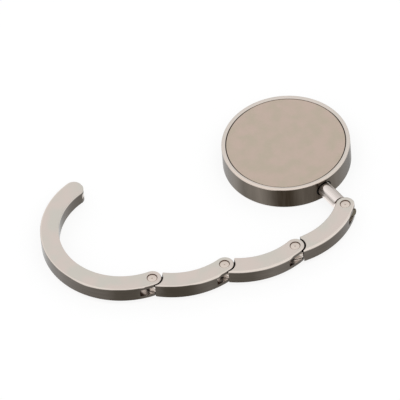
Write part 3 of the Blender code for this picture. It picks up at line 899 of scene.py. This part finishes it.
def link_metal(name, way, shift, lift):
    """Satin faces and polished flanks, with reflections painted by the way each flank faces and a
    painted highlight on the outer rim.
    """
    surface, place = new_surface(name, 0.3, 1.0)
    east, north, up = axes_of(place)
    centre = way @ Vector((-ring_radius, 0, 0))
    pin = way.translation
    aside = east - centre.x
    ahead = north - centre.y
    outer_way = turn_of(aside, ahead)
    inner_way = turn_of(aside * -1, ahead * -1)
    reach = reach_of(aside, ahead)
    outer_side = reach.rises(ring_radius - FLANK_BLEND, ring_radius + FLANK_BLEND)
    wobble = spots(place, 5 * MM, 3.0).between(-0.015, 0.015)
    # Painted reflections on the inner and outer flanks, lightened or darkened for each link.
    inner_tone = (inner_way + wobble).along(LINK_REFLECTION_TONES)
    outer_tone = (outer_way + wobble).along(LINK_REFLECTION_TONES)
    flank = (outer_side.mixed(inner_tone, outer_tone) + shift).mixed(LINK_DARK, LINK_LIGHT)
    lines = spots(place, MM, 3.0, POLISHING_LINES)
    flank = flank.blended("OVERLAY", POLISHING_SHARE, lines)
    satin = spots(place, 6 * MM, 1.5).rises(0.35, 0.65).mixed(SATIN_WARM, SATIN_COOL)
    # A painted highlight on the outer rim.
    rim = reach.rises(ring_radius + OUTER_HIGHLIGHT_START, ring_radius + OUTER_HIGHLIGHT_FULL)
    satin = rim.mixed(satin, OUTER_RIM_HIGHLIGHT)
    # The flanks' painted dark reflection climbs higher up the rims in front and near each pin.
    front = outer_side.mixed(inner_way.along(RIM_REFLECTION_TONES), outer_way.along(RIM_REFLECTION_TONES))
    ear = 1 - reach_of(east - pin.x, north - pin.y).rises(EAR_DARK_FULL, EAR_DARK_START)
    dark = ear.maths("MAXIMUM", ear, front * lift)
    top = (up - axis_height).rises(
        dark * TOP_START_LIFT + TOP_START, dark * TOP_FULL_LIFT + TOP_FULL
    )
    under = (axis_height - up).rises(half_link - UNDER_START, half_link - UNDER_FULL)
    level = top + under
    level.mixed(flank, satin).feeds("Base Color")
    length = outer_way * GRAIN_IN_A_TURN
    grain = spots(place.node("CombineXYZ", {}, {"X": length, "Y": reach, "Z": up}), 0.12 * MM)
    (level * SATIN_ROUGHER + grain.between(0.14, 0.22)).feeds("Roughness")
    bumped(grain, 0.001 * MM, 0.3)
    return surface


def joint_shade():
    """Metal painted nearly black as shade in the narrow gaps round the hinges."""
    surface, place = new_surface("joint shade", 0.6, 0.6)
    spots(place, 0.5 * MM, 3.0).mixed(GAP_SHADE_DARK, GAP_SHADE_LIGHT).feeds("Base Color")
    return surface


def slot_metal():
    """Bright bare metal round each hinge, with painted shade darkening the deep end of each slot.
    """
    surface, place = new_surface("sawn slot", 0.35, 1.0)
    cloud = spots(place, 0.6 * MM, 3.0)
    bare = cloud.mixed(SLOT_DARK, SLOT_LIGHT)
    east, north, _ = axes_of(place)
    nearest, *others = [reach_of(east - pin.x, north - pin.y) for pin in hinge_pins]
    for away in others:
        nearest = nearest.maths("MINIMUM", nearest, away)
    # Painted shade darkens each slot towards its deep end.
    nearest.rises(SLOT_SHADE_START, SLOT_SHADE_FULL).mixed(bare, SLOT_SHADE).feeds("Base Color")
    cloud.between(0.2, 0.4).feeds("Roughness")
    return surface


def barrel_metal():
    """A bright round wall between two faces painted nearly black as shade."""
    surface, place = new_surface("tongue barrel", 0.2, 1.0)
    streaks = spots(place, 1.4 * MM, 1.0, BARREL_STREAKS).rises(0.3, 0.7)
    wall = streaks.mixed(BARREL_DARK, BARREL_LIGHT)
    up = axes_of(place)[2]
    away = up.maths("ABSOLUTE", up - axis_height)
    # The tongue's faces between the ears are painted nearly black as shade.
    faces = away.rises(half_blade - BARREL_SHADE_START, half_blade - BARREL_SHADE_FULL)
    faces.mixed(wall, TONGUE_FACE_SHADE).feeds("Base Color")
    streaks.between(0.12, 0.22).feeds("Roughness")
    return surface


def at_turn(turned, radius=None):
    """A place on the ring in the frame of a link's pin, with the ring's centre at -X."""
    radius = radius or ring_radius
    return Vector((radius * math.cos(turned) - ring_radius, -radius * math.sin(turned), 0))


def half_disc(name, radius, height, surface, **cleared):
    """A disc cut along X, with one half cleared away and the straight edge picked."""
    deselect_everything()
    bpy.ops.mesh.primitive_circle_add(
        vertices=EAR_SIDES, radius=radius, fill_type="NGON", location=(0, 0, height)
    )
    piece = started(name, surface)
    pick_faces(piece, lambda middle, normal: True)
    bpy.ops.mesh.bisect(
        plane_co=(0, 0, 0), plane_no=(0, 1, 0), threshold=CUT_TOLERANCE, **cleared
    )
    open_mesh(piece, "EDGE")
    shape = bmesh.from_edit_mesh(piece.data)
    for edge in shape.edges:
        edge.select_set(all(abs(vert.co.y) < TOUCHING for vert in edge.verts))
    bmesh.update_edit_mesh(piece.data)
    return piece


def flat_strip(name, arc, surface):
    """The plan of a half-round ear at the pin and of the bar that runs on from it."""
    piece = half_disc(name, EAR_RADIUS, -half_link, surface, clear_inner=True)
    swept(math.ceil(arc / ARC_STEP), arc, (-ring_radius, 0, 0))
    return piece


def is_rim(uprights):
    """Tells whether an edge has a level face on one side and an upright one on the other."""
    return uprights[0] < 1 - LEVEL and uprights[1] > LEVEL


def moved_to(piece, place):
    piece.matrix_world = place
    place_in_mesh(piece)


def tongue_at(pin, turn, surface):
    """A round-ended tongue whose straight flanks run along +Y before it is turned."""
    piece = half_disc("tongue", BARREL_RADIUS, -half_blade, surface, clear_outer=True)
    root = SHOULDER_RADIUS + TONGUE_ROOT
    bpy.ops.mesh.extrude_region_move(TRANSFORM_OT_translate={"value": (0, root, 0)})
    thickened(BLADE_THICKNESS)
    round_end = root / 2
    bevelled(
        piece,
        lambda middle, uprights: is_rim(uprights) and middle.y < round_end,
        BARREL_ROUND,
        segments=2,
    )
    moved_to(piece, Matrix.Translation(pin) @ Matrix.Rotation(turn, 4, "Z"))
    return piece


def eased(piece):
    """Rounds a casting's upper rims fully and its lower rims a little."""
    for side, share in ((-1, LOWER_RIM_SHARE), (1, 1.0)):
        pick_edges(piece, lambda middle, uprights: is_rim(uprights) and middle.z * side > 0)
        bpy.ops.transform.edge_bevelweight(value=share)
    settings = {"width": RIM_ROUND, "segments": RIM_STEPS, "use_clamp_overlap": False}
    modified(piece, "BEVEL", limit_method="WEIGHT", **settings)


def with_slot(piece, surface):
    """Saws the slot between the ears and drills both for the pin."""
    corner = (-tool_reach, -SLOT_DEPTH, -SLOT_HEIGHT / 2)
    with_tool(piece, block("saw", corner, (tool_reach, tool_reach, SLOT_HEIGHT / 2), surface))
    tight_hole = PIN_RADIUS + HOLE_GAP
    with_tool(piece, drum("drill", tight_hole, -LINK_THICKNESS, LINK_THICKNESS, surface))


# The pattern wears sheet steel, also on the edges of the hollow, until each copy gets its finish.
sawn = slot_metal()
barrel = barrel_metal()
gap_shade = joint_shade()
far_pin = at_turn(LINK_ARC)
link_pattern = flat_strip("link_pattern", LINK_ARC, sheet_steel)
thickened(LINK_THICKNESS)
eased(link_pattern)
hollow_mouth = SHOULDER_RADIUS + 2 * SHOULDER_EDGE
hollow_stations = [
    (-LINK_THICKNESS, hollow_mouth),
    (-half_link - SHOULDER_EDGE, hollow_mouth),
    (-half_link + SHOULDER_EDGE, SHOULDER_RADIUS),
    (half_link - SHOULDER_EDGE, SHOULDER_RADIUS),
    (half_link + SHOULDER_EDGE, hollow_mouth),
    (LINK_THICKNESS, hollow_mouth),
]
# The hollow and the corner cut leave faces painted nearly black as shade.
hollow = drawn_out("hollow", hollow_stations, gap_shade, HOLLOW_SIDES, at=far_pin[:2])
given_second(hollow, sheet_steel, lambda middle, normal: 1 - LEVEL < abs(normal.z) < LEVEL)
with_tool(link_pattern, hollow)
corner_cut = block(
    "corner_cut",
    (-2 * EAR_RADIUS, 0, -LINK_THICKNESS),
    (-CORNER_ASIDE, CORNER_BACK, LINK_THICKNESS),
    gap_shade,
    -LINK_ARC,
    far_pin,
)
with_tool(link_pattern, corner_cut)
with_slot(link_pattern, sawn)
with_tool(link_pattern, tongue_at(far_pin, -LINK_ARC, barrel), "UNION")
drill_ends = (-LINK_THICKNESS, LINK_THICKNESS)
with_tool(link_pattern, drum("far_drill", turning_hole, *drill_ends, barrel, at=far_pin[:2]))

heading = 0
link_ways = []
for opened, pin_place in zip(HINGES_OPEN, hinge_pins):
    heading += opened - (LINK_ARC if link_ways else 0)
    link_ways.append(Matrix.Translation(pin_place) @ Matrix.Rotation(heading, 4, "Z"))


def copied(pattern, name, way):
    """A copy of a pattern with a mesh of its own, moved to its way."""
    piece = pattern.copy()
    piece.data = pattern.data.copy()
    piece.name = name
    piece.data.name = name
    bpy.context.scene.collection.objects.link(piece)
    moved_to(piece, way)
    return piece


for number, (node, shift, lift) in enumerate(LINK_LOOKS, 1):
    way = link_ways[number - 1]
    link = copied(link_pattern, node + "_casting", way)
    link.data.materials[0] = link_metal(node + "_metal", way, shift, lift)
    finished(link, f"link_{number}", "link_metal", node)
bpy.data.objects.remove(link_pattern)

# Hook arm
# The last casting of the chain, of the same section as the links and cast with them. The bag
# hangs in it. Its rounded tip has a sawn groove with a small magnet at its bottom.
ARM_ARC = math.radians(165.3)
TIP_OUTER_ROUND = 2.5 * MM
TIP_INNER_ROUND = 1.9 * MM
TIP_STEPS = 24
GROOVE_DEPTH = 1.5 * MM
GROOVE_HEIGHT = 1.4 * MM
POCKET_DEPTH = 1.84 * MM
POCKET_WIDTH = 2.08 * MM
POCKET_HEIGHT = 1.32 * MM
CORNER_REACH = 0.005 * MM
# The groove and the magnet's pocket are painted near white, a painted reflection of the bright
# surroundings.
GROOVE_REFLECTION_DARK = screen_colour(238, 232, 226)
GROOVE_REFLECTION_LIGHT = screen_colour(253, 250, 246)
ring_outer = ring_radius + EAR_RADIUS
ring_inner = ring_radius - EAR_RADIUS
outer_turn = math.asin(TIP_OUTER_ROUND / (ring_outer - TIP_OUTER_ROUND))
inner_turn = math.asin(TIP_INNER_ROUND / (ring_inner + TIP_INNER_ROUND))


def with_rounded_tip(piece, bar_end):
    """Draws the outer and the inner round on from the strip's end and fills the plan between."""
    plan_height = Vector((0, 0, -half_link))
    outer_corner = at_turn(bar_end, ring_outer) + plan_height
    pick_points(piece, lambda place: (place - outer_corner).length < CORNER_REACH)
    outer_centre = at_turn(bar_end, ring_outer - TIP_OUTER_ROUND) + plan_height
    swept(TIP_STEPS, math.pi / 2 + outer_turn, outer_centre)
    inner_corner = at_turn(bar_end, ring_inner) + plan_height
    pick_points(piece, lambda place: (place - inner_corner).length < CORNER_REACH)
    swept(1, outer_turn - inner_turn, Vector((-ring_radius, 0, 0)))
    inner_centre = at_turn(ARM_ARC - inner_turn, ring_inner + TIP_INNER_ROUND) + plan_height
    swept(TIP_STEPS, inner_turn - math.pi / 2, inner_centre)
    beyond = bar_end - CORNER_REACH / ring_radius
    pick_points(piece, lambda place: math.atan2(-place.y, place.x + ring_radius) > beyond)
    bpy.ops.mesh.edge_face_add()


arm_tip = at_turn(ARM_ARC)
arm_way = link_ways[3]
bar_end = ARM_ARC - outer_turn
arm = flat_strip("arm_casting", bar_end, sheet_steel)
with_rounded_tip(arm, bar_end)
thickened(LINK_THICKNESS)
eased(arm)
with_slot(arm, sawn)
# Painted reflection: the groove's faces are near white.
groove_reflection = bright_steel("groove reflection", GROOVE_REFLECTION_DARK, GROOVE_REFLECTION_LIGHT, 0.3)
for half_width, depth, height in (
    (tool_reach, GROOVE_DEPTH, GROOVE_HEIGHT),
    (POCKET_WIDTH / 2, POCKET_DEPTH, POCKET_HEIGHT),
):
    corner = (-half_width, -tool_reach, -height / 2)
    far_corner = (half_width, depth, height / 2)
    with_tool(arm, block("groove", corner, far_corner, groove_reflection, -ARM_ARC, arm_tip))
moved_to(arm, arm_way)
arm.data.materials[0] = link_metal("arm_metal", arm_way, 0, 1.0)
finished(arm, "arm", "link_metal", "hook_arm")

# Tip magnet
# A small plated block of magnet, glued into the groove a little under the tip's end. It meets the
# one in the case when the ring closes.
MAGNET_SUNK = 0.3 * MM
MAGNET_WIDTH = 2.0 * MM
MAGNET_LENGTH = 1.5 * MM
MAGNET_HEIGHT = 1.24 * MM
MAGNET_ROUND = 0.12 * MM
magnet = block(
    "tip_magnet_block",
    (-MAGNET_WIDTH / 2, MAGNET_SUNK, -MAGNET_HEIGHT / 2),
    (MAGNET_WIDTH / 2, MAGNET_SUNK + MAGNET_LENGTH, MAGNET_HEIGHT / 2),
    magnet_plating,
    -ARM_ARC,
    arm_tip,
)
bevelled(magnet, lambda middle, _: True, MAGNET_ROUND, segments=3)
moved_to(magnet, arm_way)
finished(magnet, "arm", "magnet", "tip_magnet")

# Hinge pins
# Four turned steel pins with a centre dimple in each end. They are pressed through both ears, a
# little under the links' faces, and the tongues turn on them.
PIN_EDGE = 0.14 * MM
PIN_SUNK = 0.2 * MM
PIN_SIDES = 64
DIMPLE_RADIUS = 0.22 * MM
DIMPLE_FLOOR = DIMPLE_RADIUS / 3
DIMPLE_DEPTH = 0.1 * MM
DIMPLE_SHADE_END = 1.3 * DIMPLE_RADIUS
# Painted shade in each end's dimple, and a brown ring round the edge of each end.
DIMPLE_SHADE_SHARE = 0.3
PIN_EDGE_BROWN = screen_colour(138, 112, 98)
PIN_RING_START = -0.1 * MM
PIN_RING_FULL = 0.02 * MM
PIN_DARK = screen_colour(214, 200, 190)
PIN_LIGHT = screen_colour(228, 216, 206)


def pin_steel(name, centre):
    """Bright steel with a brown ring round the edge of its ends and painted shade in each end's
    dimple.
    """
    surface, place = new_surface(name, 0.24, 1.0)
    cloud = spots(place, 1.1 * MM, 3.0)
    face = cloud.mixed(PIN_DARK, PIN_LIGHT)
    east, north, _ = axes_of(place)
    reach = reach_of(east - centre.x, north - centre.y)
    # A brown ring round the edge of each end, and painted shade in the dimple.
    ring_and_dimple_shade = reach.rises(pin_face + PIN_RING_START, pin_face + PIN_RING_FULL)
    dot = (1 - reach.rises(DIMPLE_RADIUS, DIMPLE_SHADE_END)) * DIMPLE_SHADE_SHARE
    ring_and_dimple_shade.maths("MAXIMUM", ring_and_dimple_shade, dot).mixed(face, PIN_EDGE_BROWN).feeds("Base Color")
    cloud.between(0.16, 0.3).feeds("Roughness")
    bumped(spots(place, 0.12 * MM), 0.001 * MM, 0.3)
    return surface


pin_end = half_link - PIN_SUNK
pin_face = PIN_RADIUS - PIN_EDGE
edge_middle = PIN_RADIUS - EDGE_MIDDLE * PIN_EDGE
pin_stations = [
    (-pin_end + DIMPLE_DEPTH, DIMPLE_FLOOR),
    (-pin_end, DIMPLE_RADIUS),
    (-pin_end, pin_face),
    (-pin_end + EDGE_MIDDLE * PIN_EDGE, edge_middle),
    (-pin_end + PIN_EDGE, PIN_RADIUS),
    (pin_end - PIN_EDGE, PIN_RADIUS),
    (pin_end - EDGE_MIDDLE * PIN_EDGE, edge_middle),
    (pin_end, pin_face),
    (pin_end, DIMPLE_RADIUS),
    (pin_end - DIMPLE_DEPTH, DIMPLE_FLOOR),
]
pin_pattern = drawn_out("pin_pattern", pin_stations, sheet_steel, PIN_SIDES)
for number, body in enumerate(("link_1", "link_2", "link_3", "arm"), 1):
    way = link_ways[number - 1]
    pin = copied(pin_pattern, f"pin_{number}_steel", way)
    pin.data.materials[0] = pin_steel(pin.name, way.translation)
    finished(pin, body, "pin_metal", f"hinge_pin_{number}")
bpy.data.objects.remove(pin_pattern)

# Floor, lights and camera
# A plain white floor and a pale sky with one big soft lamp, seen from where the photograph was
# taken.
FOCAL = 675.0
SENSOR_WIDTH = 36.0
CAMERA_AT = Vector((1.16515, -0.744173, 1.498607))
CAMERA_TURN = math.radians(58.4511)
CAMERA_PITCH = math.radians(47.5508)
CAMERA_ROLL = math.radians(5.1813)
CLIP_START = 0.05
CLIP_END = 20.0
FLOOR_SIZE = 8.0
FLOOR_GREY = 0.9
FLOOR_GLOW = 0.82
SKY_DARK = 0.62
SKY_LIGHT = 0.95
SKY_START = -0.1
SKY_FULL = 0.9
LAMP_AT = (0.28, -0.18, 0.75)
LAMP_SIZE = 0.9
LAMP_POWER = 3.0


def aim_camera():
    bpy.ops.object.camera_add()
    camera = bpy.context.object
    camera.data.lens = FOCAL
    camera.data.sensor_width = SENSOR_WIDTH
    camera.data.sensor_fit = "HORIZONTAL"
    turn = Matrix.Rotation(CAMERA_TURN, 3, "Z")
    forward = turn @ Vector((0, math.cos(CAMERA_PITCH), -math.sin(CAMERA_PITCH)))
    right = turn @ Vector((1, 0, 0))
    down = turn @ Vector((0, -math.sin(CAMERA_PITCH), -math.cos(CAMERA_PITCH)))
    level, drop = math.cos(CAMERA_ROLL), math.sin(CAMERA_ROLL)
    side = level * right + drop * down
    below = -drop * right + level * down
    pose = Matrix((side, -below, -forward)).transposed().to_4x4()
    camera.matrix_world = Matrix.Translation(CAMERA_AT) @ pose
    camera.data.clip_start = CLIP_START
    camera.data.clip_end = CLIP_END
    bpy.context.scene.camera = camera


deselect_everything()
aim_camera()


def grey(value):
    return (value, value, value, 1)


def paper():
    """Matt white that the camera and glossy pieces see a little brighter than it is lit."""
    surface = bpy.data.materials.new("white paper")
    surface.use_nodes = True
    nodes = surface.node_tree.nodes
    nodes.remove(nodes["Principled BSDF"])
    start = Wire(surface.node_tree)
    kinds = ("Is Camera Ray", "Is Glossy Ray", "Is Transmission Ray")
    camera, glossy, clear = [start.node("LightPath", out=kind) for kind in kinds]
    seen = (camera + glossy + clear) * FLOOR_GLOW
    matt = start.node("BsdfDiffuse", {}, {"Color": grey(FLOOR_GREY)})
    lit = start.node("Emission", {}, {"Color": grey(1.0), "Strength": 1.0})
    both = start.node("MixShader", {}, {0: seen, 1: matt, 2: lit})
    surface.node_tree.links.new(both.socket, nodes["Material Output"].inputs["Surface"])
    return surface


bpy.ops.mesh.primitive_plane_add(size=FLOOR_SIZE)
floor = bpy.context.object
floor.name = "floor"
floor.data.materials.append(paper())

world = bpy.data.worlds.new("studio")
bpy.context.scene.world = world
world.use_nodes = True
start = Wire(world.node_tree)
height = axes_of(start.node("TexCoord", out="Generated"))[2]
shade = height.rises(SKY_START, SKY_FULL).mixed(grey(SKY_DARK), grey(SKY_LIGHT))
seen = start.node("LightPath", out="Is Camera Ray").mixed(shade, grey(1.0))
world.node_tree.links.new(seen.socket, world.node_tree.nodes["Background"].inputs["Color"])

bpy.ops.object.light_add(type="AREA", location=LAMP_AT)
softbox = bpy.context.object
softbox.name = "softbox"
softbox.data.size = LAMP_SIZE
softbox.data.energy = LAMP_POWER
softbox.visible_glossy = False
softbox.rotation_euler = Vector((0, 0, 1)).rotation_difference(softbox.location).to_euler()

bpy.context.scene.view_settings.view_transform = "Standard"
